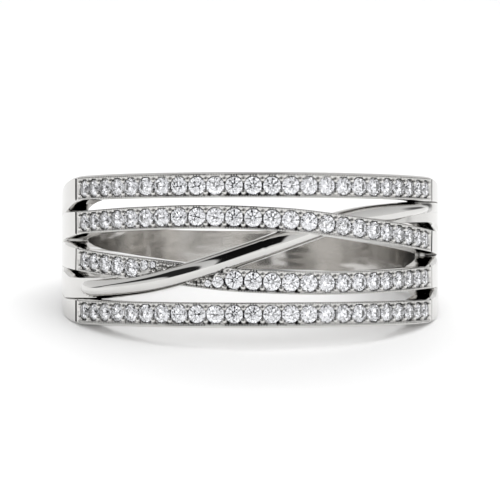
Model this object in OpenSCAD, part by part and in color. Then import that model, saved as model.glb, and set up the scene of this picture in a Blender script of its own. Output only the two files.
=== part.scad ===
// Crossover ring. Five strands cross an open head: four are set with small round stones, and a plain
// polished one runs over the lower crossing row and under the upper one. The band narrows to the back.
// The ring lies on its side as it would on a table, leaning back until its narrow back touches down.
// Its origin is the middle of the finger hole.
// Turns are angles about the finger's axis in degrees: 0 is the middle of the head, and + is to the right.

/* [Finger hole] */
// Inside diameter of the band
finger_d = 17.3; // [14:0.1:21]

/* [Band] */
// Thickness of the metal, from the finger to the outside
wall = 1.2; // [1:0.05:2]
// Width of the head, from one side to the other
head_w = 7.4; // [6.8:0.05:10]
// Width of the band at the back
shank_w = 2.15; // [1.6:0.05:3.5]
// Radius where the flat side of the head turns into the shank
shoulder_r = 10; // [4:0.5:14]
// Radius of the long hollow curve along each side of the shank
hollow_r = 32; // [26:1:60]
// Chamfer along the outer edges of the head and of the stone rows
edge_cut = 0.12; // [0.04:0.01:0.18]

/* [Open head] */
// Half of the turn that the open head takes up
open_turn = 77; // [68:1:84]
// Width of a strand that is set with stones
row_w = 1.2; // [1.1:0.01:1.3]
// Width of the plain polished strand
bar_w = 1.0; // [0.7:0.05:1.2]
// Height of the polished strand's rounded top
bar_crown = 0.44; // [0.1:0.02:0.5]
// How far the polished strand stands above the row that it crosses over
bar_lift = 0.1; // [0:0.02:0.3]
// How far a strand dips where another one crosses over it
cross_dip = 0.4; // [0.2:0.05:0.5]
// Depth of the notches that run out from the slots onto the shoulders
notch_depth = 0.3; // [0.1:0.02:0.5]
// Turn over which these notches run out
notch_turn = 16; // [10:1:30]

/* [Stones] */
// Diameter of a stone
stone_d = 0.79; // [0.6:0.01:0.84]
// Room between a stone and the next one in its row
stone_gap = 0.12; // [0.1:0.01:0.4]
// Gap between a stone and the metal of its seat
seat_gap = 0.02; // [0.01:0.005:0.04]
// How far a stone's flat table stands above the strand
stone_rise = 0.04; // [0:0.01:0.1]
// Half of the turn that the stones take up
set_turn = 65; // [40:1:67]

/* [Hidden] */

bore_r = finger_d / 2;
outer_r = bore_r + wall;
half_w = head_w / 2;
row_z = half_w - row_w / 2;
// What a cut runs past the metal
past = 0.5;
// Half the width of a notch for each millimetre of its depth
notch_slope = 0.7;
// How far the tube and each strand reach past the bore, which trims them
tube_under = 0.15;
upper_under = 0.21;
lower_under = 0.27;
bar_under = 0.33;
// Turn between the sections of a strand
step_turn = 3;

// A strand is buried this far into each shoulder, and sinks a little below its surface
bury_turn = 4;
sink = 0.05;

// Path of the upper crossing row
// Columns: share of open_turn, share of half the head's width
row_path = [
    [-1.1, 0.360],
    [-0.8, 0.375],
    [-0.5, 0.410],
    [-0.2, 0.426],
    [0.1, 0.385],
    [0.25, 0.332],
    [0.4, 0.274],
    [0.55, 0.220],
    [0.75, 0.152],
    [1.1, 0.060]];
// The polished strand climbs through its middle and levels off towards each side
// Height that it levels off at, as a share of half the head's width, and its middle and climb as turns
bar_reach = 0.52;
bar_middle = -1.5;
bar_climb = 35;
// Half of the turn over which a strand dips or lifts at a crossing, as a share of open_turn
dip_share = 0.3;

// A cut stone: heights and the table's width as shares of its diameter
table_share = 0.56;
crown_share = 0.15;
girdle_share = 0.04;
pavilion_share = 0.43;
stone_sides = 16;

stone_turn = (stone_d + stone_gap) / outer_r * 180 / PI;
stone_count = floor(2 * set_turn / stone_turn);

// Place on a smooth curve through a table's rows
function near(table, i) = table[min(max(i, 0), len(table) - 1)];
function slope(table, i) =
    (near(table, i + 1)[1] - near(table, i - 1)[1]) / (near(table, i + 1)[0] - near(table, i - 1)[0]);
function span_of(table, x) =
    max([for (i = [0 : len(table) - 2]) if (i == 0 || x >= table[i][0]) i]);
function smooth(table, x) =
    let (
        i = span_of(table, x),
        long = table[i + 1][0] - table[i][0],
        u = (x - table[i][0]) / long,
        rise = table[i + 1][1] - table[i][1],
        a = slope(table, i) * long,
        b = slope(table, i + 1) * long)
    table[i][1] + u * (a + u * (3 * rise - 2 * a - b + u * (a + b - 2 * rise)));

function limit(x, low, high) = min(max(x, low), high);

// Heights of the strands' middles above the ring's own middle, at a turn
function upper_z(turn) = half_w * smooth(row_path, turn / open_turn);
function lower_z(turn) = -upper_z(-turn);
function bar_z(turn) =
    let (u = (turn - bar_middle) / bar_climb) half_w * bar_reach * u / pow(1 + pow(u, 4), 1 / 4);

// Turns where the polished strand meets the two crossing rows
function nearest(turns, gaps) = turns[search(min(gaps), gaps)[0]];
search_turns = [0 : 0.5 : 60];
left_cross = nearest([for (t = search_turns) -t], [for (t = search_turns) abs(bar_z(-t) - lower_z(-t))]);
right_cross = nearest([for (t = search_turns) t], [for (t = search_turns) abs(bar_z(t) - upper_z(t))]);

// A bump of height 1 round a turn
function bump(turn, middle) =
    let (u = limit(abs(turn - middle) / (dip_share * open_turn), 0, 1)) 0.5 + 0.5 * cos(180 * u);
// The ends of the strands sink below the shoulders
function buried(turn) = sink * limit((abs(turn) - open_turn + 3 * bury_turn) / (2 * bury_turn), 0, 1);

// Radius of the top of each strand, at a turn
function upper_top(turn) = outer_r - buried(turn);
function lower_top(turn) = outer_r - buried(turn) - cross_dip / 2 * bump(turn, left_cross);
function bar_top(turn) =
    outer_r - buried(turn) + bar_lift * bump(turn, left_cross) - cross_dip * bump(turn, right_cross);

// Outlines across a strand's outer face
// Columns: place across it, depth below its top
row_face = [
    [-row_w / 2, edge_cut],
    [-row_w / 2 + edge_cut, 0],
    [row_w / 2 - edge_cut, 0],
    [row_w / 2, edge_cut]];
crown_steps = 8;
bar_face = [for (i = [0 : crown_steps])
    let (a = 180 - 180 * i / crown_steps)
    [bar_w / 2 * cos(a), bar_crown * (1 - sin(a))]];

// One section of a strand, set square to its path: its outer face, and two corners inside the bore
function section(face, turn, z, lean, top, under) =
    let (
        across = concat([face[0][0]], [for (p = face) p[0]], [face[len(face) - 1][0]]),
        radius = concat([bore_r - under], [for (p = face) top - p[1]], [bore_r - under]))
    [for (i = [0 : len(across) - 1])
        let (t = turn - across[i] * sin(lean) / outer_r * 180 / PI)
        [radius[i] * sin(t), -radius[i] * cos(t), z + across[i] * cos(lean)]];

// Slope of a path, from its heights a little to each side
function path_lean(before, after) = atan2(after - before, 2 * outer_r * PI / 180);

// One solid through equal rings of points
module sweep(rings) {
    n = len(rings[0]);
    last = (len(rings) - 1) * n;
    sides = [for (i = [0 : len(rings) - 2], j = [0 : n - 1], upper = [0, 1])
        let (a = i * n + j, b = i * n + (j + 1) % n)
        upper == 1 ? [a, b, b + n] : [a, b + n, a + n]];
    ends = [for (j = [1 : n - 2], far = [0, 1])
        far == 1 ? [last, last + j, last + j + 1] : [0, j + 1, j]];
    polyhedron(points = [for (ring = rings) each ring], faces = concat(sides, ends));
}

far_turn = open_turn + bury_turn;
turn_steps = ceil(2 * far_turn / step_turn);
turns = [for (i = [0 : turn_steps]) -far_turn + 2 * far_turn * i / turn_steps];

module upper_strand() {
    sweep([for (t = turns)
        section(row_face, t, upper_z(t), path_lean(upper_z(t - 1), upper_z(t + 1)),
            upper_top(t), upper_under)]);
}

module lower_strand() {
    sweep([for (t = turns)
        section(row_face, t, lower_z(t), path_lean(lower_z(t - 1), lower_z(t + 1)),
            lower_top(t), lower_under)]);
}

module bar_strand() {
    sweep([for (t = turns)
        section(bar_face, t, bar_z(t), path_lean(bar_z(t - 1), bar_z(t + 1)),
            bar_top(t), bar_under)]);
}

// Turns of the stones in a row, and those of the lower crossing row that the polished strand leaves free
row_turns = [for (i = [0 : stone_count - 1]) (i - (stone_count - 1) / 2) * stone_turn];
bar_clear = 0.4 * bar_w + stone_d / 2 + seat_gap;
free_turns = [for (t = row_turns) if (abs(bar_z(t) - lower_z(t)) > bar_clear) t];

// Puts a thing that points along +Z on the outside of the ring, pointing outwards
module outwards(turn, z, radius) {
    rotate([0, 0, turn - 90]) translate([radius, 0, z]) rotate([0, 90, 0]) children();
}

module along_straight(z) {
    for (t = row_turns) outwards(t, z, outer_r) children();
}

module along_upper() {
    for (t = row_turns) outwards(t, upper_z(t), upper_top(t)) children();
}

module along_lower() {
    for (t = free_turns) outwards(t, lower_z(t), lower_top(t)) children();
}

girdle_top = stone_rise - crown_share * stone_d;
girdle_low = girdle_top - girdle_share * stone_d;
culet = girdle_low - pavilion_share * stone_d;

function circle_points(radius, count, height) =
    [for (i = [0 : count - 1]) [radius * cos(360 * i / count), radius * sin(360 * i / count), height]];

// A round brilliant in plain form: its table has half as many sides as its girdle
module brilliant() {
    n = stone_sides;
    h = n / 2;
    points = concat(
        circle_points(table_share * stone_d / 2, h, stone_rise),
        circle_points(stone_d / 2, n, girdle_top),
        circle_points(stone_d / 2, n, girdle_low),
        [[0, 0, culet]]);
    table = [[for (i = [h - 1 : -1 : 0]) i]];
    crown = [for (i = [0 : h - 1], k = [0 : 2])
        let (g = h + 2 * i)
        k == 0 ? [i, h + (2 * i + n - 1) % n, g] :
        k == 1 ? [i, g, g + 1] :
        [i, g + 1, (i + 1) % h]];
    girdle = [for (i = [0 : n - 1])
        [h + i, h + n + i, h + n + (i + 1) % n, h + (i + 1) % n]];
    pavilion = [for (i = [0 : n - 1]) [h + n + i, h + 2 * n, h + n + (i + 1) % n]];
    polyhedron(points = points, faces = [for (f = concat(table, crown, girdle, pavilion))
        [for (k = [len(f) - 1 : -1 : 0]) f[k]]]);
}

// The hollow that a stone sits in, a little wider than the stone all round
module seat() {
    r = stone_d / 2 + seat_gap;
    ledge = girdle_low - seat_gap;
    foot = culet - seat_gap;
    translate([0, 0, ledge]) cylinder(r = r, h = past - ledge, $fn = 48);
    translate([0, 0, foot]) cylinder(r1 = seat_gap, r2 = r, h = ledge - foot, $fn = 48);
}

// Profile of the upper side of the band, seen from the side: columns are y and z
blend_rise = shank_w / 2 + hollow_r - half_w + shoulder_r;
turn_y = outer_r - sqrt(pow(shoulder_r + hollow_r, 2) - pow(blend_rise, 2));
blend_angle = atan2(outer_r - turn_y, blend_rise);
side_steps = 6;
side_profile = concat(
    [for (i = [0 : side_steps])
        let (a = blend_angle * i / side_steps)
        [turn_y + shoulder_r * sin(a), half_w - shoulder_r + shoulder_r * cos(a)]],
    [for (i = [1 : 2 * side_steps])
        let (a = blend_angle * (1 - i / (2 * side_steps)))
        [outer_r - hollow_r * sin(a), shank_w / 2 + hollow_r - hollow_r * cos(a)]]);

module side_cut() {
    rotate([90, 0, 90])
        linear_extrude(height = 2 * (outer_r + past), center = true)
            polygon(concat(side_profile,
                [[outer_r + past, shank_w / 2], [outer_r + past, half_w + past], [turn_y, half_w + past]]));
}

// The band before its strands: a tube with an open head between the two straight rows
module plain_band() {
    difference() {
        rotate_extrude($fn = 180)
            polygon([
                [bore_r - tube_under, -half_w],
                [outer_r - edge_cut, -half_w],
                [outer_r, -half_w + edge_cut],
                [outer_r, half_w - edge_cut],
                [outer_r - edge_cut, half_w],
                [bore_r - tube_under, half_w]]);
        linear_extrude(height = 2 * (half_w - row_w), center = true)
            polygon(concat([[0, 0]],
                [for (i = [-2 : 2]) 2 * outer_r * [sin(i * open_turn / 2), -cos(i * open_turn / 2)]]));
        side_cut();
        mirror([0, 0, 1]) side_cut();
    }
}

// A notch that starts at a slot's end and runs out on the shoulder
module notch(side, z) {
    deep_r = outer_r - notch_depth;
    near_end = deep_r * [sin(open_turn), -cos(open_turn)];
    far_end = outer_r * [sin(open_turn + notch_turn), -cos(open_turn + notch_turn)];
    run = far_end - near_end;
    tall = 3 * notch_depth;
    translate([side * near_end[0], near_end[1], z])
        rotate([0, 0, side > 0 ? atan2(run[1], run[0]) : 180 - atan2(run[1], run[0])])
            translate([-past / 4, 0, 0])
                rotate([90, 0, 90])
                    linear_extrude(height = norm(run) + past)
                        polygon([
                            [0, 0],
                            [-side * tall, notch_slope * tall],
                            [-side * tall, -notch_slope * tall]]);
}

// Middles of the slots where they reach the shoulders
function between(low_z, low_w, high_z, high_w) = (low_z + low_w / 2 + high_z - high_w / 2) / 2;

module notches() {
    left = -open_turn;
    right = open_turn;
    notch(-1, between(upper_z(left), row_w, row_z, row_w));
    notch(-1, between(lower_z(left), row_w, upper_z(left), row_w));
    notch(-1, between(bar_z(left), bar_w, lower_z(left), row_w));
    notch(1, between(-row_z, row_w, lower_z(right), row_w));
    notch(1, between(lower_z(right), row_w, upper_z(right), row_w));
    notch(1, between(upper_z(right), row_w, bar_z(right), bar_w));
}

// How the ring lies: it leans back until the shoulders' lower sides and the back touch the table
lean_back = max([for (p = side_profile)
    if (p[0] < outer_r - past) atan2(p[1] - shank_w / 2, outer_r - p[0])]);

module lying() {
    rotate([-lean_back, 0, 0]) children();
}

module ring_band() {
    color([0.86, 0.86, 0.87]) lying() difference() {
        union() {
            plain_band();
            upper_strand();
            lower_strand();
            bar_strand();
        }
        notches();
        along_straight(row_z) seat();
        along_upper() seat();
        along_lower() seat();
        along_straight(-row_z) seat();
        cylinder(r = bore_r, h = head_w + 2 * past, center = true, $fn = 180);
    }
}

module top_row_stones() {
    color([0.95, 0.96, 1]) lying() along_straight(row_z) brilliant();
}

module upper_cross_stones() {
    color([0.93, 0.95, 1]) lying() along_upper() brilliant();
}

module lower_cross_stones() {
    color([0.91, 0.93, 1]) lying() along_lower() brilliant();
}

module bottom_row_stones() {
    color([0.89, 0.92, 1]) lying() along_straight(-row_z) brilliant();
}

ring_band();
top_row_stones();
upper_cross_stones();
lower_cross_stones();
bottom_row_stones();
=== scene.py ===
"""Crossover ring: polished metal, stones, beaded edges, floor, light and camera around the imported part.

Sizes are in millimetres in the ring's own frame, whose Z is the finger's axis and whose head faces -Y.
A turn is an angle about that axis in degrees: 0 is the middle of the head, and + is to the right.
lay_down() turns each finished mesh to metres and leans it back as the ring lies on the floor.
"""

import math

import bmesh
import bpy
from mathutils import Matrix, Vector


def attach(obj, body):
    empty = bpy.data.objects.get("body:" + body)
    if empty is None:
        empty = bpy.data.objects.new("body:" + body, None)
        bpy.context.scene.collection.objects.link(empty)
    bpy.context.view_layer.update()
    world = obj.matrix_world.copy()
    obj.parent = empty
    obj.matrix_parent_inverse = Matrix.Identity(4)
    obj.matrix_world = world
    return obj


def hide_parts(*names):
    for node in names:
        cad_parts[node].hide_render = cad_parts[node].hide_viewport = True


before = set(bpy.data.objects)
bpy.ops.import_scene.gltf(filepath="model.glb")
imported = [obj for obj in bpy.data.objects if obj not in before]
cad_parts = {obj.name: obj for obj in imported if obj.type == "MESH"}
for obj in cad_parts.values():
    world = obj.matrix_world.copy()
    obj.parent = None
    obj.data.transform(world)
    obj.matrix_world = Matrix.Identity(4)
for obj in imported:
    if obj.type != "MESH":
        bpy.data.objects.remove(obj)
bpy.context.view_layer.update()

# The part's own sizes
FINGER_D = 17.3
WALL = 1.2
HEAD_W = 7.4
SHANK_W = 2.15
SHOULDER_R = 10.0
HOLLOW_R = 32.0
OPEN_TURN = 77.0
ROW_W = 1.2
BAR_W = 1.0
BAR_CROWN = 0.44
BAR_LIFT = 0.1
CROSS_DIP = 0.4
NOTCH_TURN = 16.0
STONE_PITCH = 0.91
SET_TURN = 65.0
BAR_REACH = 0.52
BAR_MIDDLE = -1.5
BAR_CLIMB = 35.0
DIP_SHARE = 0.3
# Path of the upper crossing row: share of OPEN_TURN, share of half the head's width
ROW_PATH = [(-1.1, 0.360), (-0.8, 0.375), (-0.5, 0.410), (-0.2, 0.426), (0.1, 0.385),
            (0.25, 0.332), (0.4, 0.274), (0.55, 0.220), (0.75, 0.152), (1.1, 0.060)]

# Finer forms that only the looks need
STONE_D = 0.85
TABLE_RISE = 0.03
CROSS_W = 1.12
# A full stone keeps this far from the bar's middle line
BAR_CLEAR = 0.815
# Smaller stones beside the bar: most size as a share of a full one, least size, gap, turn between two tries
SMALL_SHARE = 0.85
LEAST_STONE = 0.3
SMALL_GAP = 0.07
SMALL_STEP = 0.1
# The pave ends at a turn, rises to the surface just before it, and has a thin line cut across just past it
SET_END = 65.0
PAVE_RISE = 0.9
END_LINE = 65.7
LINE_TURN = 0.6
LINE_DEPTH = 0.2
# Strip beside the stones, and how far the outer rows' stones stand in from the middle of their strand
EDGE_STRIP = 0.12
PAVE_SHIFT = 0.05
# A strand's slope fades to nothing over these last turns
SLOPE_FADE = 7
# Milgrain: place across, size, pitch, depth of its middle, and how far short of the pave's end it stops
BEAD_ROW = 0.500
GRAIN_D = 0.102
GRAIN_PITCH = 0.13
GRAIN_DEPTH = 0.040
GRAIN_STOP = 0.3
# A seat is longer than its stone, so neighbouring seats open into each other; shares of the stone's size
SEAT_LONG = 0.605
SEAT_WIDE = 0.518
SEAT_DEPTH = 0.56
# Beads between two stones: size and place across, as shares of the stones' size, and depth of their middle
PRONG_SHARE = 0.32
PRONG_PLACE = 0.36
PRONG_DEPTH = 0.08
# Two stones that are more than this many pitches apart stand in different runs
RUN_GAP = 1.5
# Grains in the wedges beside the bar: size, spacing along as a share of it, depth, distance from the
# strand's edge, width of the wedge where they end, and how much they may cover a stone
WEDGE_GRAIN = 0.18
WEDGE_SPACING = 1.05
WEDGE_DEPTH = 0.02
WEDGE_EDGE = 0.10
WEDGE_END = 0.16
WEDGE_OVERLAP = 0.3

BORE_R = FINGER_D / 2
OUTER_R = BORE_R + WALL
HALF_W = HEAD_W / 2
ROW_Z = HALF_W - ROW_W / 2
# Metres in a millimetre
MM = 0.001

# Side outline of the band: flat head, round shoulder, long hollow down to the shank
BLEND_RISE = SHANK_W / 2 + HOLLOW_R - HALF_W + SHOULDER_R
TURN_Y = OUTER_R - math.sqrt((SHOULDER_R + HOLLOW_R) ** 2 - BLEND_RISE ** 2)
BLEND_Y = TURN_Y + SHOULDER_R * math.sin(math.atan2(OUTER_R - TURN_Y, BLEND_RISE))


def half_width(y):
    """Half the band's width at a place along Y."""
    if y <= TURN_Y:
        return HALF_W
    if y <= BLEND_Y:
        return HALF_W - SHOULDER_R + math.sqrt(SHOULDER_R ** 2 - (y - TURN_Y) ** 2)
    return SHANK_W / 2 + HOLLOW_R - math.sqrt(HOLLOW_R ** 2 - (OUTER_R - y) ** 2)


# The ring leans back until its lower edge touches the floor at the head and at the back
# Places along Y that are tried for it
HEAD_STEPS = [k * 0.05 for k in range(280)]
EDGE_STEPS = [k / 20 for k in range(-196, 197)]
LEAN = max(math.atan2(half_width(TURN_Y + y) - SHANK_W / 2, OUTER_R - TURN_Y - y) for y in HEAD_STEPS)
LAY = Matrix.Rotation(-LEAN, 4, "X")
FLOOR_Z = min((LAY @ Vector((0, y, -half_width(y)))).z for y in EDGE_STEPS) * MM


def limit(x, low=0.0, high=1.0):
    return min(max(x, low), high)


def ease(x):
    x = limit(x)
    return x * x * (3 - 2 * x)


def progress(turn, start, full):
    """Share of the way from one turn to another, the same to the left and to the right."""
    return (abs(turn) - start) / (full - start)


def along(table, x):
    """Place on a smooth curve through a table's rows."""
    i = max(k for k in range(len(table) - 1) if k == 0 or x >= table[k][0])

    def slope(k):
        a, b = table[max(k - 1, 0)], table[min(k + 1, len(table) - 1)]
        return (b[1] - a[1]) / (b[0] - a[0])

    run = table[i + 1][0] - table[i][0]
    u = (x - table[i][0]) / run
    rise = table[i + 1][1] - table[i][1]
    a, b = slope(i) * run, slope(i + 1) * run
    return table[i][1] + u * (a + u * (3 * rise - 2 * a - b + u * (a + b - 2 * rise)))


def upper_z(turn):
    return HALF_W * along(ROW_PATH, turn / OPEN_TURN)


def lower_z(turn):
    return -upper_z(-turn)


def bar_z(turn):
    u = (turn - BAR_MIDDLE) / BAR_CLIMB
    return HALF_W * BAR_REACH * u / (1 + u ** 4) ** 0.25


# Turns where the bar passes over the lower crossing row and under the upper one
CROSS_STEPS = [k / 2 for k in range(121)]
LEFT_CROSS = min((-t for t in CROSS_STEPS), key=lambda t: abs(bar_z(t) - lower_z(t)))
RIGHT_CROSS = min(CROSS_STEPS, key=lambda t: abs(bar_z(t) - upper_z(t)))


def bump(turn, middle):
    u = limit(abs(turn - middle) / (DIP_SHARE * OPEN_TURN))
    return 0.5 + 0.5 * math.cos(math.pi * u)


def lower_top(turn):
    return OUTER_R - CROSS_DIP / 2 * bump(turn, LEFT_CROSS)


def bar_top(turn):
    return OUTER_R + BAR_LIFT * bump(turn, LEFT_CROSS) - CROSS_DIP * bump(turn, RIGHT_CROSS)


def place(turn, z, radius):
    a = math.radians(turn)
    return Vector((radius * math.sin(a), -radius * math.cos(a), z))


# Stones of a row, and those of the lower crossing row that the bar leaves free
STONE_TURN = math.degrees(STONE_PITCH / OUTER_R)
STONE_COUNT = int(2 * SET_TURN / STONE_TURN)
ROW_TURNS = [(i - (STONE_COUNT - 1) / 2) * STONE_TURN for i in range(STONE_COUNT)]
FREE_TURNS = [t for t in ROW_TURNS if abs(bar_z(t) - lower_z(t)) > BAR_CLEAR]
ROW_STONES = [(t, 0.0, STONE_D) for t in ROW_TURNS]


def path_lean(z, turn):
    """Slope of a strand's path at a turn, measured over one degree."""
    return math.atan2(z(turn + 0.5) - z(turn - 0.5), OUTER_R * math.radians(1))


def small_stones(last, way):
    """Smaller stones from the last full one towards the bar, each as wide as the bar leaves free there."""
    stones, turn, size = [], last, STONE_D
    while True:
        turn += way * SMALL_STEP
        row_lean, bar_lean = path_lean(lower_z, turn), path_lean(bar_z, turn)
        bar_half = BAR_W / 2 / math.cos(bar_lean - row_lean)
        beside = abs(lower_z(turn) - bar_z(turn)) * math.cos(row_lean) - bar_half
        new = min(CROSS_W / 2 + beside - 2 * EDGE_STRIP, SMALL_SHARE * STONE_D)
        if new < LEAST_STONE:
            return stones
        if abs(turn - last) * math.radians(1) * OUTER_R > (size + new) / 2 + SMALL_GAP:
            stones.append((turn, way * (CROSS_W / 2 - EDGE_STRIP - new / 2), new))
            last, size = turn, new


LAST_LEFT = max(t for t in FREE_TURNS if t < LEFT_CROSS)
FIRST_RIGHT = min(t for t in FREE_TURNS if t > LEFT_CROSS)
LOWER_STONES = sorted([(t, 0.0, STONE_D) for t in FREE_TURNS]
                      + small_stones(LAST_LEFT, 1) + small_stones(FIRST_RIGHT, -1))


# ---------------------------------------------------------------- strands across the head
class Strand:
    """One strand: its path, its top, its width, its stones as (turn, place across, size)."""

    def __init__(self, name, z, top, width, stones=(), shift=0.0):
        self.name, self.z, self.top, self.width = name, z, top, width
        self.stones, self.shift = stones, shift

    def lean(self, turn):
        """Slope of the path, fading to nothing where the strand meets the shoulders."""
        return path_lean(self.z, turn) * ease((OPEN_TURN - abs(turn)) / SLOPE_FADE)

    def edges(self, turn, y_radius):
        """Heights of the strand's two edges."""
        z = self.z(turn)
        low, high = z - self.width / 2, z + self.width / 2
        if self.name == "top_row":
            high = half_width(-y_radius * math.cos(math.radians(turn)))
        if self.name == "bottom_row":
            low = -half_width(-y_radius * math.cos(math.radians(turn)))
        return low, high

    def seat_edge(self, turn, side):
        """How far the seats, a scallop round each stone, reach to one side of the stones' line."""
        reach = None
        for at, across, size in self.stones:
            u = math.radians(turn - at) * OUTER_R / (SEAT_LONG * size)
            if abs(u) < 1:
                here = side * across + SEAT_WIDE * size * math.sqrt(1 - u * u)
                reach = here if reach is None else max(reach, here)
        return reach

    def point(self, turn, across, depth):
        """A point on the strand: its place across from the stones' line, its depth below the top."""
        lean = self.lean(turn)
        across += self.shift
        t = turn - math.degrees(across * math.sin(lean) / OUTER_R)
        return place(t, self.z(turn) + across * math.cos(lean), self.top(turn) - depth)


def row_top(turn):
    return OUTER_R


top_row = Strand("top_row", lambda t: ROW_Z, row_top, ROW_W, ROW_STONES, shift=-PAVE_SHIFT)
upper_cross = Strand("upper_cross", upper_z, row_top, CROSS_W, ROW_STONES)
bar = Strand("bar", bar_z, bar_top, BAR_W)
lower_cross = Strand("lower_cross", lower_z, lower_top, CROSS_W, LOWER_STONES)
bottom_row = Strand("bottom_row", lambda t: -ROW_Z, row_top, ROW_W, ROW_STONES, shift=PAVE_SHIFT)
STRANDS = [bottom_row, lower_cross, bar, upper_cross, top_row]
STONE_STRANDS = [top_row, upper_cross, lower_cross, bottom_row]
# Their order from low to high where they run into the shoulders
LEFT_ORDER = [bottom_row, bar, lower_cross, upper_cross, top_row]
RIGHT_ORDER = [bottom_row, lower_cross, upper_cross, bar, top_row]

# A slot closes between two turns: late at its rounded ends, early where the bar runs beside an outer row
LATE = (60.0, OPEN_TURN)
EARLY = (42.0, 62.0)
# Share of a slot's height that a strand's edge closes as it runs into the shoulder, and where.
# Keys: strand, end of the slot (-1 left, 1 right), edge of the strand (-1 low, 1 high)
CLOSES = {("top_row", -1, -1): (0.92, LATE), ("upper_cross", -1, -1): (0.45, LATE),
          ("lower_cross", -1, 1): (0.45, LATE), ("bar", -1, 1): (0.85, LATE),
          ("bar", -1, -1): (0.49, EARLY), ("bottom_row", -1, 1): (0.49, EARLY),
          ("bottom_row", 1, 1): (0.92, LATE), ("lower_cross", 1, 1): (0.88, LATE),
          ("bar", 1, -1): (0.85, LATE), ("bar", 1, 1): (0.49, EARLY), ("top_row", 1, -1): (0.49, EARLY)}
# Above 1, the edges close slowly at first
CLOSE_CURVE = 1.4


def slot_height(strand, turn, side):
    """Height of the slot beside a strand's edge."""
    order = LEFT_ORDER if turn < 0 else RIGHT_ORDER
    n = order.index(strand) + side
    if not 0 <= n < len(order):
        return 0.0
    return max(abs(order[n].z(turn) - strand.z(turn)) - (order[n].width + strand.width) / 2, 0.0)


def widening(strand, turn, side):
    """How far a strand's edge has closed the slot beside it, in millimetres."""
    share, (start, full) = CLOSES.get((strand.name, 1 if turn > 0 else -1, side), (0.0, LATE))
    if not share or abs(turn) < start:
        return 0.0
    return share * slot_height(strand, turn, side) * limit(progress(turn, start, full)) ** CLOSE_CURVE


# The lip of a strand that closes a slot: place from its edge and depth, as shares of the lip's width
LIP_SHAPE = [(0.0, 0.80), (0.22, 0.42), (0.55, 0.13), (1.0, 0.0)]
# The most that such a lip is wide
LIP_MOST = 0.3
# From a strand's edge inwards: place from the edge, depth where plain, depth where paved
SLOT_EDGE = [(0.0, 0.055, 0.075), (0.005, 0.020, 0.050), (0.014, 0.004, 0.045), (0.024, 0.0, 0.045)]
SIDE_EDGE = [(0.0, 0.14, 0.14), (0.018, 0.085, 0.085), (0.052, 0.034, 0.034), (0.096, 0.0, 0.0)]
# Then the beaded strip, the edge of the seats, and the wall and floor of the seats
STRIP = (0.550, 0.455)
STRIP_DEPTH = 0.045
LIP_DEPTH = 0.085
# Least land outside the strip, room between the strip and a seat, and how far a seat's wall slopes
EDGE_LAND = 0.028
STRIP_ROOM = 0.018
SEAT_SLOPE = 0.012
# Places across where the strand is plain, and between two seats
PLAIN_PLACES = (0.25, 0.15)
GAP_PLACES = (0.02, 0.01)
COLUMNS = 2 * (len(SLOT_EDGE) + 4) + 1
SLOT_COLUMNS = 9


def half_outline(strand, turn, side):
    """One half of a paved row's outline, from its edge to the floor of the seats."""
    half = strand.width / 2
    outer = (strand.name == "top_row" and side > 0) or (strand.name == "bottom_row" and side < 0)
    plain_here = abs(turn) >= SET_END
    line = LINE_DEPTH * limit(1 - abs(abs(turn) - END_LINE) / LINE_TURN)
    wider = widening(strand, turn, side)
    edge = []
    for n, (x, plain, paved) in enumerate(SIDE_EDGE if outer else SLOT_EDGE):
        depth = plain if plain_here else paved
        lip = min(wider, LIP_MOST)
        x, depth = x + lip * LIP_SHAPE[n][0], depth + lip * LIP_SHAPE[n][1]
        edge.append((half + wider - x, max(depth, line) if n == len(SLOT_EDGE) - 1 else depth))
    inmost = half - EDGE_LAND
    reach = strand.seat_edge(turn, side)
    if plain_here:
        tail = [(x, line) for x in STRIP + PLAIN_PLACES]
    elif reach is None:
        sunk = 1 - ease((abs(turn) - SET_END + PAVE_RISE) / PAVE_RISE)
        tail = [(x, STRIP_DEPTH * sunk) for x in STRIP] + [(x, LIP_DEPTH * sunk) for x in GAP_PLACES]
    else:
        lip = min(reach, STRIP[1] - STRIP_ROOM)
        tail = [(x, STRIP_DEPTH) for x in STRIP] + [(lip + SEAT_SLOPE, LIP_DEPTH), (lip, SEAT_DEPTH)]
    tail = [(side * min(side * (side * x + strand.shift), inmost), depth) for x, depth in tail]
    return [(side * x, depth) for x, depth in edge] + tail


def outline(strand, turn):
    """Outer outline of a strand at a turn, as (place across, depth), with as many points for each."""
    if not strand.stones:
        return bar_outline(turn)
    low, high = half_outline(strand, turn, -1), half_outline(strand, turn, 1)
    return low + [((low[-1][0] + high[-1][0]) / 2, low[-1][1])] + high[::-1]


# Towards its ends the bar narrows to a ridge on the outer side of a level shelf.
# Shares of the width that the ridge keeps there, on the left and on the right, and its height
RIDGE_LEFT = 0.84
RIDGE_RIGHT = 0.50
RIDGE_HEIGHT = 0.15
# Turns over which the bar narrows, the ridge rises, its outer edge comes up, and its nose rounds off
NARROWS = (34.0, 64.0)
RISES = (30.0, 50.0)
COMES_UP = (56.0, 70.0)
NOSE = (55.0, 63.0)
# Depth of the bar's sides, width of their bevel, small steps at the ridge's foot and at the outer edge, and
# slope and most width of the lips with which the edges close a slot
BAR_SIDE = 0.055
BEVEL = 0.02
RIDGE_STEP = 0.012
OUTER_STEP = 0.004
LIP_SLOPE = 0.8
BAR_LIP_MOST = 0.2


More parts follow.
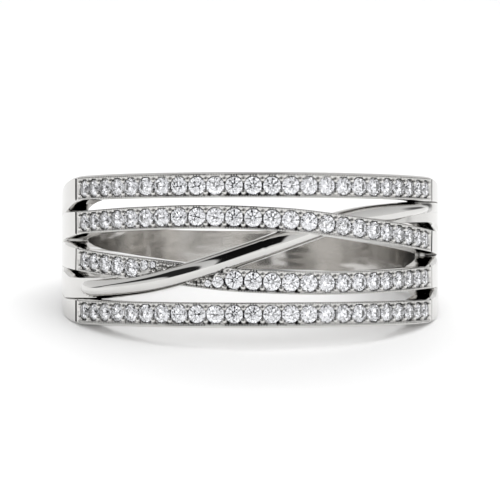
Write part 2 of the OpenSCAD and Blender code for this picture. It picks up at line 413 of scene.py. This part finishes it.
def bar_outline(turn):
    """The bar's rounded top, which ends in a ridge with a round nose beside a level shelf."""
    outward = 1 if turn > 0 else -1
    half = BAR_W / 2
    change = ease(progress(turn, *NARROWS))
    share = 1 - (1 - (RIDGE_RIGHT if turn > 0 else RIDGE_LEFT)) * change
    shelf = BAR_CROWN * (1 - change)
    outer_depth = BAR_CROWN * (1 - ease(progress(turn, *COMES_UP)))
    rise = RIDGE_HEIGHT * ease(progress(turn, *RISES))
    nose = limit(progress(turn, *NOSE))
    inner_wide, outer_wide = widening(bar, turn, -outward), widening(bar, turn, outward)
    inner_lip, outer_lip = (LIP_SLOPE * min(wide, BAR_LIP_MOST) for wide in (inner_wide, outer_wide))
    # From the shelf's edge to the outer edge, as (place towards the outer side, depth)
    points = [(-half - inner_wide, shelf + BAR_SIDE + inner_lip),
              (-half - inner_wide + BEVEL + inner_lip, shelf)]
    steps = COLUMNS - 4
    for k in range(steps + 1):
        u = -math.cos(math.pi * k / steps)
        height = math.sqrt(max(0.0, 1 - u * u - nose * nose))
        base = shelf + (outer_depth - shelf) * ease((u + 1) / 2)
        points.append((half - 2 * half * share * (1 - u) / 2 + (RIDGE_STEP if k == 0 else 0.0),
                       base - (base + rise) * height))
    points.append((half + outer_wide + OUTER_STEP, outer_depth + BAR_SIDE + outer_lip))
    points = [(outward * x, depth) for x, depth in points]
    return points if outward > 0 else points[::-1]


# How far the corners on the finger's side are rounded off, from a strand's edge inwards, and the turns over
# which that fades out before the shoulders
INNER_ROUND = [0.09, 0.035, 0.008]
ROUND_FADE = 4


def inner_round(strand, k, turn):
    """How far an inner corner of a strand is rounded off, fading out where it joins the shoulder."""
    j = min(k, COLUMNS - 1 - k)
    outside = (strand is bottom_row and k < COLUMNS / 2) or (strand is top_row and k > COLUMNS / 2)
    fade = 1.0 if outside else ease((OPEN_TURN - abs(turn)) / ROUND_FADE)
    return (INNER_ROUND[j] if j < len(INNER_ROUND) else 0.0) * fade


def strand_section(strand, turn):
    """A closed section: the outer face from low to high, then the inner face back again."""
    lean = strand.lean(turn)
    z_mid, half = strand.z(turn), strand.width / 2
    outer, inner = [], []
    for k, (x, depth) in enumerate(outline(strand, turn)):
        inner_radius = BORE_R + inner_round(strand, k, turn)
        for radius, points in ((strand.top(turn) - depth, outer), (inner_radius, inner)):
            low, high = strand.edges(turn, OUTER_R if points is outer else BORE_R)
            across = x
            if strand.name == "top_row" and x > 0:
                across = x / half * (high - z_mid)
            elif strand.name == "bottom_row" and x < 0:
                across = x / half * (z_mid - low)
            t = turn - math.degrees(across * math.sin(lean) / OUTER_R)
            points.append(place(t, z_mid + across * math.cos(lean), radius))
    return outer + inner[::-1]


def skin(bm, sections, closed=True):
    """Bends a grid into a surface through sections with as many points each, closed round or open."""
    rows, columns = len(sections) - 1, len(sections[0]) - (0 if closed else 1)
    made = bmesh.ops.create_grid(bm, x_segments=rows, y_segments=columns, size=0.5)
    for v in made["verts"]:
        i, j = round((v.co.x + 0.5) * rows), round((v.co.y + 0.5) * columns)
        v.co = sections[i][j % len(sections[0])]


def turns_between(start, end, step):
    """Evenly spaced turns, at most a step apart."""
    count = math.ceil(abs(end - start) / step)
    return [start + (end - start) * i / count for i in range(count + 1)]


# Turns between two sections: where plain, at each side of the pave's end, and around its end line
PLAIN_STEP = 0.9
END_STEP = 0.06
END_MARGIN = 0.2
LINE_MARGIN = 1.1
SECTIONS_A_STONE = 12


def strand_turns(strand):
    """Turns of a strand's sections: close together along its stones, with the line at the end of them."""
    if not strand.stones:
        return turns_between(-OPEN_TURN, OPEN_TURN, PLAIN_STEP)
    ends = [side * (SET_END + d) for side in (-1, 1) for d in (-END_STEP, END_STEP)]
    ends += [side * END_LINE + d for side in (-1, 1) for d in (-LINE_TURN, 0.0, LINE_TURN)]
    middle = turns_between(-SET_END + END_MARGIN, SET_END - END_MARGIN, STONE_TURN / SECTIONS_A_STONE)
    plain = turns_between(END_LINE + LINE_MARGIN, OPEN_TURN, PLAIN_STEP)
    return sorted(middle + plain + [-t for t in plain] + ends)


# ---------------------------------------------------------------- shoulders and shank
# Grooves carry the slots on over the shoulders: their depth, the width of slot that gives it in full, and how
# fast they and the strands' edges fade
GROOVE = 0.34
GROOVE_WIDE = 0.3
GROOVE_FADE = 1.3
EDGE_FADE = 2
# The end of a slot rounds into the bore: its radius, its reach in turns at the slot's middle and how that
# falls off above and below it and along the bore
BORE_ROUND = 0.27
BORE_ROUND_TURN = 1.7
BORE_ROUND_SHAPE = 0.35
BORE_ROUND_FADE = 9


def cap_heights(order, side):
    """Columns where a shoulder meets the strands, from low to high: height, depth and share of the groove."""
    turn = side * OPEN_TURN
    columns = []
    for n, strand in enumerate(order):
        section = strand_section(strand, turn)
        shape = outline(strand, turn)
        for k in range(COLUMNS):
            columns.append({"z": section[k].z, "depth": shape[k][1], "slot": 0.0, "wide": 0.0})
        if n < len(order) - 1:
            low = columns[-1]["z"]
            high = strand_section(order[n + 1], turn)[0].z
            for k in range(1, SLOT_COLUMNS):
                u = 2 * k / SLOT_COLUMNS - 1
                columns.append({"z": low + (high - low) * k / SLOT_COLUMNS, "depth": SLOT_EDGE[0][1],
                                "slot": 1 - u * u, "wide": high - low})
    return columns


LEFT_CAP = cap_heights(LEFT_ORDER, -1)
RIGHT_CAP = cap_heights(RIGHT_ORDER, 1)
CAP_HALF = half_width(-OUTER_R * math.cos(math.radians(OPEN_TURN)))


def shoulder_section(turn):
    """A closed section of the shoulders and the shank, for turns from OPEN_TURN round to 360 - OPEN_TURN."""
    from_right, from_left = turn - OPEN_TURN, 360 - OPEN_TURN - turn
    side_gap = min(from_right, from_left)
    cap = RIGHT_CAP if from_right < from_left else LEFT_CAP
    blend = ease((turn - OPEN_TURN) / (360 - 2 * OPEN_TURN))
    out = 1 - limit(side_gap / NOTCH_TURN)
    outer_half = half_width(-OUTER_R * math.cos(math.radians(turn)))
    inner_half = half_width(-BORE_R * math.cos(math.radians(turn)))
    outer, inner = [], []
    for j, column in enumerate(cap):
        share = (RIGHT_CAP[j]["z"] * (1 - blend) + LEFT_CAP[j]["z"] * blend) / CAP_HALF
        end = min(j, len(cap) - 1 - j)
        if end < len(INNER_ROUND):
            depth, round_in = SIDE_EDGE[end][1], INNER_ROUND[end]
        else:
            wide = limit(column["wide"] / GROOVE_WIDE)
            depth = column["depth"] * out ** EDGE_FADE + GROOVE * wide * column["slot"] * out ** GROOVE_FADE
            round_in = 0.0
        sign = 1 if turn < 180 else -1
        near = max(0.0, 1 - side_gap / BORE_ROUND_FADE)
        back = BORE_ROUND_TURN * column["slot"] ** BORE_ROUND_SHAPE * near if column["slot"] else 0.0
        outer.append(place(turn, share * outer_half, OUTER_R - depth))
        inner.append(place(turn + sign * back, share * inner_half, BORE_R + round_in))
    return outer + inner[::-1]


def slot_wall(order, side, n):
    """The end wall of a slot, from the groove on the shoulder down to its rounded edge at the bore."""
    start = n * (COLUMNS + SLOT_COLUMNS - 1) + COLUMNS - 1
    section = shoulder_section(OPEN_TURN if side > 0 else 360 - OPEN_TURN)
    size = len(section)
    rows = []
    for j in range(start, start + SLOT_COLUMNS + 1):
        outer, inner = section[j], section[size - 1 - j]
        r_out = math.hypot(outer.x, outer.y)
        t_in = math.degrees(math.atan2(inner.x, -inner.y)) % 360
        t_out = math.degrees(math.atan2(outer.x, -outer.y)) % 360
        rise = inner.z - outer.z
        points = [outer]
        # Three quarters of the way in height go to the wall and the rest to the rounded edge
        for k in range(1, 4):
            points.append(place(t_out, outer.z + rise * k / 4, r_out + (BORE_R + BORE_ROUND - r_out) * k / 3))
        for k in range(1, 5):
            a = math.radians(90 * k / 5)
            t = t_out + (t_in - t_out) * (1 - math.cos(a))
            r = BORE_R + BORE_ROUND * (1 - math.sin(a))
            points.append(place(t, outer.z + rise * (0.75 + 0.05 * k), r))
        points.append(inner)
        rows.append(points)
    return rows


def lay_down(bm):
    """Turns the finished mesh to metres and leans it back as the ring lies."""
    bmesh.ops.transform(bm, matrix=Matrix.Scale(MM, 4) @ LAY, verts=bm.verts)


def finish_piece(name, bm, materials, node=None, smooth_under=None):
    """Makes an object of a mesh, with its normals outwards, and hides the imported node that it takes the
    place of.
    """
    bmesh.ops.recalc_face_normals(bm, faces=bm.faces)
    lay_down(bm)
    mesh = bpy.data.meshes.new(name)
    bm.to_mesh(mesh)
    bm.free()
    for face in mesh.polygons:
        face.use_smooth = smooth_under is not None
    if smooth_under is not None:
        mesh.set_sharp_from_angle(angle=math.radians(smooth_under))
    for material in materials:
        mesh.materials.append(material)
    piece = bpy.data.objects.new(name, mesh)
    bpy.context.scene.collection.objects.link(piece)
    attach(piece, "root")
    if node:
        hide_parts(node)


# ---------------------------------------------------------------- materials
def colour(code):
    """sRGB hex to the linear colour that a shader takes."""
    parts = [int(code[i:i + 2], 16) / 255 for i in (1, 3, 5)]
    return [p / 12.92 if p <= 0.04045 else ((p + 0.055) / 1.055) ** 2.4 for p in parts] + [1.0]


def add(tree, kind, settings=None, links=None):
    """Adds a node, sets its properties and sockets, and links its inputs."""
    node = tree.nodes.new(kind)
    for key, value in (settings or {}).items():
        if isinstance(key, str) and hasattr(node, key):
            setattr(node, key, value)
        else:
            node.inputs[key].default_value = value
    for key, source in (links or {}).items():
        tree.links.new(source, node.inputs[key])
    return node


def new_material(name):
    material = bpy.data.materials.new(name)
    material.use_nodes = True
    material.node_tree.nodes.clear()
    return material, material.node_tree


def polished_white_gold():
    """Rhodium-plated white gold, mirror polished: near-white, with faint buffing marks that soften it."""
    material, tree = new_material("polished_white_gold")
    spot = add(tree, "ShaderNodeTexCoord").outputs["Object"]
    # Buffing leaves soft patches about 1.5 mm across
    buff = add(tree, "ShaderNodeTexNoise", {"Scale": 650.0, "Detail": 3.0}, {"Vector": spot})
    rough = add(tree, "ShaderNodeMapRange", {"To Min": 0.035, "To Max": 0.085},
                {"Value": buff.outputs["Fac"]})
    tint = add(tree, "ShaderNodeMix", {"data_type": "RGBA"}, {0: buff.outputs["Fac"]})
    tint.inputs[6].default_value = colour("#D4D3D1")
    tint.inputs[7].default_value = colour("#DCDBD9")
    # The last polish still leaves the surface uneven by well under a micron, over about 0.8 mm
    swell = add(tree, "ShaderNodeTexNoise", {"Scale": 1200.0, "Detail": 2.0}, {"Vector": spot})
    uneven = add(tree, "ShaderNodeBump", {"Strength": 0.05, "Distance": 0.00002},
                 {"Height": swell.outputs["Fac"]})
    shader = add(tree, "ShaderNodeBsdfPrincipled", {"Metallic": 1.0},
                 {"Base Color": tint.outputs[2], "Roughness": rough.outputs[0], "Normal": uneven.outputs[0]})
    add(tree, "ShaderNodeOutputMaterial", None, {"Surface": shader.outputs[0]})
    return material


def inside_white_gold():
    """White gold on the finger's side: mopped, not mirror polished, so reflections there are blurred."""
    material, tree = new_material("mopped_white_gold")
    spot = add(tree, "ShaderNodeTexCoord").outputs["Object"]
    # The mop runs round the bore, so it leaves soft streaks about 6 mm long and 1.5 mm high
    run = add(tree, "ShaderNodeMapping", {"Scale": (0.25, 0.5, 1.0)}, {"Vector": spot})
    mop = add(tree, "ShaderNodeTexNoise", {"Scale": 650.0, "Detail": 2.0}, {"Vector": run.outputs[0]})
    rough = add(tree, "ShaderNodeMapRange", {"To Min": 0.08, "To Max": 0.20}, {"Value": mop.outputs["Fac"]})
    uneven = add(tree, "ShaderNodeBump", {"Strength": 0.8, "Distance": 0.0001},
                 {"Height": mop.outputs["Fac"]})
    shader = add(tree, "ShaderNodeBsdfPrincipled", {"Metallic": 1.0, "Base Color": colour("#E2E0DD")},
                 {"Roughness": rough.outputs[0], "Normal": uneven.outputs[0]})
    add(tree, "ShaderNodeOutputMaterial", None, {"Surface": shader.outputs[0]})
    return material


def beaded_white_gold():
    """White gold of the raised beads and grains: pushed up with a tool, so a little duller than the rest."""
    material, tree = new_material("beaded_white_gold")
    spot = add(tree, "ShaderNodeTexCoord").outputs["Object"]
    dull = add(tree, "ShaderNodeTexNoise", {"Scale": 3000.0, "Detail": 2.0}, {"Vector": spot})
    rough = add(tree, "ShaderNodeMapRange", {"To Min": 0.12, "To Max": 0.22}, {"Value": dull.outputs["Fac"]})
    shader = add(tree, "ShaderNodeBsdfPrincipled", {"Metallic": 1.0, "Base Color": colour("#DCDBD9")},
                 {"Roughness": rough.outputs[0]})
    add(tree, "ShaderNodeOutputMaterial", None, {"Surface": shader.outputs[0]})
    return material


def clear_stone():
    """Cut colourless diamond: clear, with an index of 2.42, so that its facets flash light and dark."""
    material, tree = new_material("clear_diamond")
    shader = add(tree, "ShaderNodeBsdfPrincipled",
                 {"Base Color": colour("#FAFBFF"), "Roughness": 0.0, "IOR": 2.42, "Transmission Weight": 1.0})
    add(tree, "ShaderNodeOutputMaterial", None, {"Surface": shader.outputs[0]})
    return material


def white_acrylic():
    """White acrylic sheet under the ring: bright, smooth, nearly matt."""
    material, tree = new_material("white_acrylic")
    spot = add(tree, "ShaderNodeTexCoord").outputs["Object"]
    faint = add(tree, "ShaderNodeTexNoise", {"Scale": 40.0, "Detail": 2.0}, {"Vector": spot})
    rough = add(tree, "ShaderNodeMapRange", {"To Min": 0.55, "To Max": 0.62}, {"Value": faint.outputs["Fac"]})
    shader = add(tree, "ShaderNodeBsdfPrincipled", {"Base Color": colour("#FAFAFA")},
                 {"Roughness": rough.outputs[0]})
    add(tree, "ShaderNodeOutputMaterial", None, {"Surface": shader.outputs[0]})
    return material


GOLD = polished_white_gold()
INSIDE = inside_white_gold()
BEAD = beaded_white_gold()
STONE = clear_stone()


# ---------------------------------------------------------------- metal
# The shoulders end just past their grooves. Turns between two sections there and of the plain shank
SHOULDER_END = OPEN_TURN + NOTCH_TURN + 2
SHOULDER_STEP = 0.8
SHANK_STEP = 2.5
# Points this near to each other become one, and faces this near to the bore are the finger's side
WELD = 0.0004
BORE_SKIN = 0.03
# Edges sharper than this, in degrees, stay sharp
METAL_SHARP = 38
GRAIN_SHARP = 80


def ring_metal():
    """The whole of the metal: shoulders and shank, strands, and the end walls of the slots."""
    bm = bmesh.new()
    turns = turns_between(OPEN_TURN, SHOULDER_END, SHOULDER_STEP)[:-1]
    turns += turns_between(SHOULDER_END, 180, SHANK_STEP)
    turns += [360 - t for t in reversed(turns[:-1])]
    skin(bm, [shoulder_section(t) for t in turns])
    for strand in STRANDS:
        skin(bm, [strand_section(strand, t) for t in strand_turns(strand)])
    for order, side in ((RIGHT_ORDER, 1), (LEFT_ORDER, -1)):
        for n in range(len(order) - 1):
            skin(bm, slot_wall(order, side, n), closed=False)
    bmesh.ops.remove_doubles(bm, verts=bm.verts, dist=WELD)
    for face in bm.faces:
        middle = face.calc_center_median()
        face.material_index = int(math.hypot(middle.x, middle.y) < BORE_R + BORE_SKIN)
    finish_piece("ring_metal", bm, [GOLD, INSIDE], "ring_band", smooth_under=METAL_SHARP)


def copies(bm, shape, matrices):
    """Adds a copy of a small mesh at each matrix."""
    for matrix in matrices:
        shape.transform(matrix)
        bm.from_mesh(shape)
        shape.transform(matrix.inverted())
    bpy.data.meshes.remove(shape)


def small_ball(radius, around, up):
    one = bmesh.new()
    bmesh.ops.create_uvsphere(one, u_segments=around, v_segments=up, radius=radius)
    shape = bpy.data.meshes.new("ball")
    one.to_mesh(shape)
    one.free()
    return shape


# The bar is over the lower crossing row only within this many degrees of their crossing
CROSS_REACH = 30
# A bead may stand this far under the bar's edge
UNDER_BAR = 0.02


def bar_covers(turn, z, margin=0.0):
    """Whether the bar, widened by a margin, lies over a point of the lower crossing row."""
    return abs(bar_z(turn) - z) < BAR_W / 2 + margin and abs(turn - LEFT_CROSS) < CROSS_REACH


def milgrain():
    """A line of fine grains along both edges of each stone row."""
    step = math.degrees(GRAIN_PITCH / OUTER_R)
    count = int(2 * (SET_END - GRAIN_STOP) / step)
    spots = []
    for strand in STONE_STRANDS:
        for side in (-1, 1):
            for i in range(count):
                turn = (i - (count - 1) / 2) * step
                point = strand.point(turn, side * BEAD_ROW, GRAIN_DEPTH)
                if not (strand is lower_cross and bar_covers(turn, point.z)):
                    spots.append(Matrix.Translation(point))
    bm = bmesh.new()
    copies(bm, small_ball(GRAIN_D / 2, around=8, up=5), spots)
    finish_piece("milgrain_edges", bm, [BEAD], smooth_under=GRAIN_SHARP)


def wedge_grains():
    """Grains that fill what the stones leave free of the wedges beside the bar, towards their tips."""
    spots = []
    step = math.degrees(WEDGE_GRAIN / OUTER_R) * WEDGE_SPACING
    for way, turn in ((-1, LAST_LEFT), (1, FIRST_RIGHT)):
        while True:
            turn -= way * step
            edge = lower_cross.point(turn, -way * CROSS_W / 2, 0)
            free = abs(bar_z(turn) - edge.z) - BAR_W / 2 / math.cos(path_lean(bar_z, turn))
            if free < WEDGE_END:
                break
            for k in range(max(1, round((free - WEDGE_EDGE) / WEDGE_GRAIN))):
                # Raised by hand, so no two are alike in place, height and size
                uneven = math.sin(5.1 * len(spots))
                across = -way * (CROSS_W / 2 - WEDGE_EDGE - (k + 0.5 + 0.15 * uneven) * WEDGE_GRAIN)
                if in_stone(turn, across):
                    continue
                point = lower_cross.point(turn + 0.25 * uneven, across, WEDGE_DEPTH - 0.03 * uneven)
                size = WEDGE_GRAIN / PRONG_SHARE * (1 + 0.25 * uneven)
                spots.append(Matrix.Translation(point) @ Matrix.Scale(size, 4))
    return spots


def in_stone(turn, across):
    """Whether a grain at this place of the lower crossing row would cover too much of a stone."""
    return any(math.hypot(math.radians(turn - at) * OUTER_R, across - beside)
               < size / 2 + WEDGE_OVERLAP * WEDGE_GRAIN for at, beside, size in LOWER_STONES)


def bead_places(stones):
    """A pair of beads between each two stones and at each end of a run: turn, place across, scale."""
    places = []
    for n, (turn, across, size) in enumerate(stones):
        end = STONE_TURN / 2 * size / STONE_D
        if n == 0 or turn - stones[n - 1][0] > RUN_GAP * STONE_TURN:
            places.append((turn - end, across, size))
        if n + 1 < len(stones) and stones[n + 1][0] - turn < RUN_GAP * STONE_TURN:
            next_turn, next_across, next_size = stones[n + 1]
            share = size / (size + next_size)
            places.append((turn + (next_turn - turn) * share, (across + next_across) / 2,
                           (size + next_size) / 2))
        else:
            places.append((turn + end, across, size))
    return places


def stone_beads():
    """The beads that hold the stones, and the grains in the wedges."""
    spots = wedge_grains()
    for strand in STONE_STRANDS:
        for turn, across, size in bead_places(strand.stones):
            for side in (-1, 1):
                point = strand.point(turn, across + side * PRONG_PLACE * size, PRONG_DEPTH)
                if not (strand is lower_cross and bar_covers(turn, point.z, -UNDER_BAR)):
                    spots.append(Matrix.Translation(point) @ Matrix.Scale(size, 4))
    bm = bmesh.new()
    copies(bm, small_ball(PRONG_SHARE / 2, around=14, up=9), spots)
    finish_piece("stone_beads", bm, [BEAD], smooth_under=GRAIN_SHARP)


# ---------------------------------------------------------------- stones
def brilliant(bm, matrix):
    """A round brilliant 1 mm wide: the hull of its rings gives its table, 32 crown facets and 24 below."""
    r = 0.5
    # Shares of the radius: table's width, heights of crown, girdle and pavilion, width of the lower ring
    table, crown, girdle, pavilion, low = 0.56, 0.30, 0.06, 0.86, 0.23
    c = math.cos(math.pi / 8)
    star = (table * c + 1) / 2
    star_z = crown * (1 - (star * c - table) / (1 - table))
    low_z = -girdle - pavilion * (1 - low * c)
    rings = [(8, table, crown, 0.0), (8, star, star_z, 22.5), (16, 1.0, 0.0, 0.0), (16, 1.0, -girdle, 0.0),
             (8, low, low_z, 22.5)]
    verts = []
    for count, radius, z, turned in rings:
        spin = Matrix.Rotation(math.radians(turned), 4, "Z")
        made = bmesh.ops.create_circle(bm, segments=count, radius=radius * r,
                                       matrix=matrix @ Matrix.Translation((0, 0, (z - crown) * r)) @ spin)
        verts += made["verts"]
    verts += bmesh.ops.create_vert(bm, co=matrix @ Vector((0, 0, (-girdle - pavilion - crown) * r)))["vert"]
    bmesh.ops.convex_hull(bm, input=verts, use_existing_faces=False)


def stone_matrix(strand, turn, across, size):
    """Stands a stone on a strand: its Z points outwards, its table a little above the strand."""
    here = strand.point(turn, across, -TABLE_RISE * size / STONE_D)
    outwards = place(turn, 0, 1)
    ahead = (strand.point(turn + 0.5, 0, 0) - strand.point(turn - 0.5, 0, 0)).normalized()
    side = outwards.cross(ahead).normalized()
    ahead = side.cross(outwards)
    rotation = Matrix((ahead, side, outwards)).transposed().to_4x4()
    return Matrix.Translation(here) @ rotation @ Matrix.Scale(size, 4)


# Most that a stone is turned in its seat, in radians
STONE_SPIN = 0.19


def stone_row(name, strand, node):
    """A row's stones as one piece."""
    one = bmesh.new()
    brilliant(one, Matrix.Identity(4))
    bmesh.ops.dissolve_limit(one, angle_limit=math.radians(1), verts=one.verts, edges=one.edges)
    shape = bpy.data.meshes.new("stone_shape")
    one.to_mesh(shape)
    one.free()
    # Stones are set by hand, so each is turned in its seat by its own small angle
    spots = []
    for i, stone in enumerate(strand.stones):
        spin = STONE_SPIN * math.sin(7.3 * i + 2.1 * len(name))
        spots.append(stone_matrix(strand, *stone) @ Matrix.Rotation(spin, 4, "Z"))
    bm = bmesh.new()
    copies(bm, shape, spots)
    finish_piece(name, bm, [STONE], node)


ring_metal()
milgrain()
stone_beads()
stone_row("top_row_brilliants", top_row, "top_row_stones")
stone_row("upper_cross_brilliants", upper_cross, "upper_cross_stones")
stone_row("lower_cross_brilliants", lower_cross, "lower_cross_stones")
stone_row("bottom_row_brilliants", bottom_row, "bottom_row_stones")


# ---------------------------------------------------------------- floor, light and camera
# Half the floor's side, in metres
FLOOR_HALF = 3.0


def floor():
    """A level sheet that the ring lies on."""
    bm = bmesh.new()
    bmesh.ops.create_grid(bm, x_segments=2, y_segments=2, size=FLOOR_HALF)
    bmesh.ops.translate(bm, vec=(0, 0, FLOOR_Z), verts=bm.verts)
    mesh = bpy.data.meshes.new("floor")
    bm.to_mesh(mesh)
    bm.free()
    mesh.materials.append(white_acrylic())
    piece = bpy.data.objects.new("floor", mesh)
    bpy.context.scene.collection.objects.link(piece)


def soft_light(name, at, size, power, through_stones=False):
    """A lamp that shines on the ring's place but isn't mirrored in the metal."""
    data = bpy.data.lights.new(name, "AREA")
    data.shape = "RECTANGLE"
    data.size, data.size_y = size
    data.energy = power
    lamp = bpy.data.objects.new(name, data)
    lamp.location = at
    lamp.rotation_euler = (-Vector(at)).to_track_quat("-Z", "Y").to_euler()
    lamp.visible_glossy = False
    lamp.visible_transmission = through_stones
    bpy.context.scene.collection.objects.link(lamp)


def studio_sky():
    """Pale walls, a dark opening from behind the camera to overhead, and a dark patch at the right rear."""
    world = bpy.data.worlds.new("studio")
    world.use_nodes = True
    tree = world.node_tree
    tree.nodes.clear()
    way = add(tree, "ShaderNodeTexCoord").outputs["Generated"]
    split = add(tree, "ShaderNodeSeparateXYZ", None, {0: way})
    walls = add(tree, "ShaderNodeValToRGB", None, {0: split.outputs["Z"]})
    shade(walls, WALLS)
    beside = light_along(tree, way, OPENING_WAY, OPENING)
    above = light_along(tree, way, OPENING_UP, OPENING_HEIGHT)
    room = add(tree, "ShaderNodeMath", {"operation": "MAXIMUM"}, {0: beside.outputs[0], 1: above.outputs[0]})
    patch = light_along(tree, way, PATCH_WAY, PATCH)
    opened = add(tree, "ShaderNodeMix", {"data_type": "RGBA", "blend_type": "MULTIPLY", 0: 1.0},
                 {6: walls.outputs[0], 7: room.outputs[0]})
    patched = add(tree, "ShaderNodeMix", {"data_type": "RGBA", "blend_type": "MULTIPLY", 0: 1.0},
                  {6: opened.outputs[2], 7: patch.outputs[0]})
    back = add(tree, "ShaderNodeBackground", {"Strength": 1.0}, {"Color": patched.outputs[2]})
    add(tree, "ShaderNodeOutputWorld", None, {"Surface": back.outputs[0]})
    bpy.context.scene.world = world


def light_along(tree, way, direction, stops):
    """Light along a direction of the sky: the ramp's stops run from -1.1 to 1.1 of the dot product."""
    dot = add(tree, "ShaderNodeVectorMath", {"operation": "DOT_PRODUCT", 1: direction}, {0: way})
    share = add(tree, "ShaderNodeMapRange", {"From Min": -1.1, "From Max": 1.1},
                {"Value": dot.outputs["Value"]})
    ramp = add(tree, "ShaderNodeValToRGB", None, {0: share.outputs[0]})
    shade(ramp, stops)
    return ramp


def shade(ramp, stops):
    """Sets a ramp's grey stops."""
    elements = ramp.color_ramp.elements
    elements.remove(elements[1])
    elements[0].position = stops[0][0]
    for at, value in stops[1:]:
        elements.new(at)
    for element, (at, value) in zip(elements, stops):
        element.position, element.color = at, (value, value, value, 1)


# Light of the walls, from level to overhead
WALLS = [(0.0, 0.92), (0.2, 0.80), (0.6, 0.72), (1.0, 0.60)]
# The dark opening, which leans to the left as it rises: the directions across it and up it
OPENING_WAY = (1.0, 0.20, 0.15)
OPENING_UP = (-0.35, 0.799, 0.602)
# Light across it from left to right, where a lit strip stands, and from its foot to its top
OPENING = [(0.0, 1.0), (0.075, 1.0), (0.09, 0.03), (0.205, 0.03), (0.22, 1.0), (0.275, 1.0), (0.29, 0.01),
           (0.65, 0.01), (0.68, 1.0)]
OPENING_HEIGHT = [(0.0, 1.0), (0.16, 1.0), (0.19, 0.01), (0.785, 0.01), (0.80, 1.0)]
# The dark patch at the right rear: the direction of its middle, and light towards it
PATCH_WAY = (0.86, 0.45, 0.23)
PATCH = [(0.0, 1.0), (0.925, 1.0), (0.955, 0.05), (1.0, 0.05)]

floor()
studio_sky()
# Lights for the floor: one above, a little to the right, that gives the shadow at the left, a wide one low in
# front that reaches under the head, and one behind that keeps the floor white up to the top of the picture
soft_light("above", (0.18, -0.04, 0.44), (0.35, 0.35), 0.48)
soft_light("front", (0.0, -0.86, 0.20), (1.2, 0.16), 4.3)
soft_light("behind", (0.0, 0.45, 0.35), (0.60, 0.20), 0.85)
# Broad lights overhead and beside the camera, which also show through the stones
soft_light("overhead", (0.0, -0.225, 0.39), (0.56, 0.56), 1.1, through_stones=True)
soft_light("left", (-0.23, -0.375, 0.12), (0.20, 0.24), 0.17, through_stones=True)
soft_light("right", (0.23, -0.375, 0.12), (0.20, 0.24), 0.17, through_stones=True)

# The camera in the ring's own frame, level with its middle and a little to the left; it leans back with it
eye = Vector((-6.01, -98.3, 0.0))
look = (-eye).to_track_quat("-Z", "Y").to_matrix().to_4x4()
camera_data = bpy.data.cameras.new("camera")
camera_data.lens = 135
camera_data.sensor_width = 36
camera_data.clip_start = 0.005
camera = bpy.data.objects.new("camera", camera_data)
camera.matrix_world = LAY @ Matrix.Translation(eye * MM) @ look
bpy.context.scene.collection.objects.link(camera)
bpy.context.scene.camera = camera
bpy.context.scene.view_settings.view_transform = "Standard"
